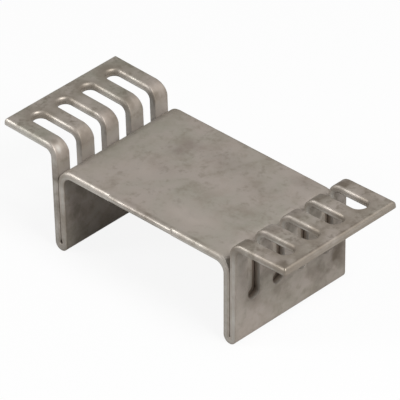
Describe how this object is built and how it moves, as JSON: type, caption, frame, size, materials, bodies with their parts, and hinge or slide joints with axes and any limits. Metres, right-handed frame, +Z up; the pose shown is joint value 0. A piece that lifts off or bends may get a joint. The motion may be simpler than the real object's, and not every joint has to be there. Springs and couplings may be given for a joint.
{
  "type": "surface mount heat sink",
  "caption": "Folded sheet heat sink that bridges a power transistor on a circuit board, with hemmed solder feet and slotted wings that stand out to the sides.",
  "frame": {"origin": "on the board, under the middle of the plate", "axes": "+X from wing tip to wing tip, +Y across the strip, +Z up from the board"},
  "size_m": [0.031, 0.013, 0.0101],
  "materials": {
    "tinned_copper": "matte tin plate over copper sheet"
  },
  "bodies": {
    "root": {"heat_sink": "tinned_copper"}
  },
  "joints": []
}
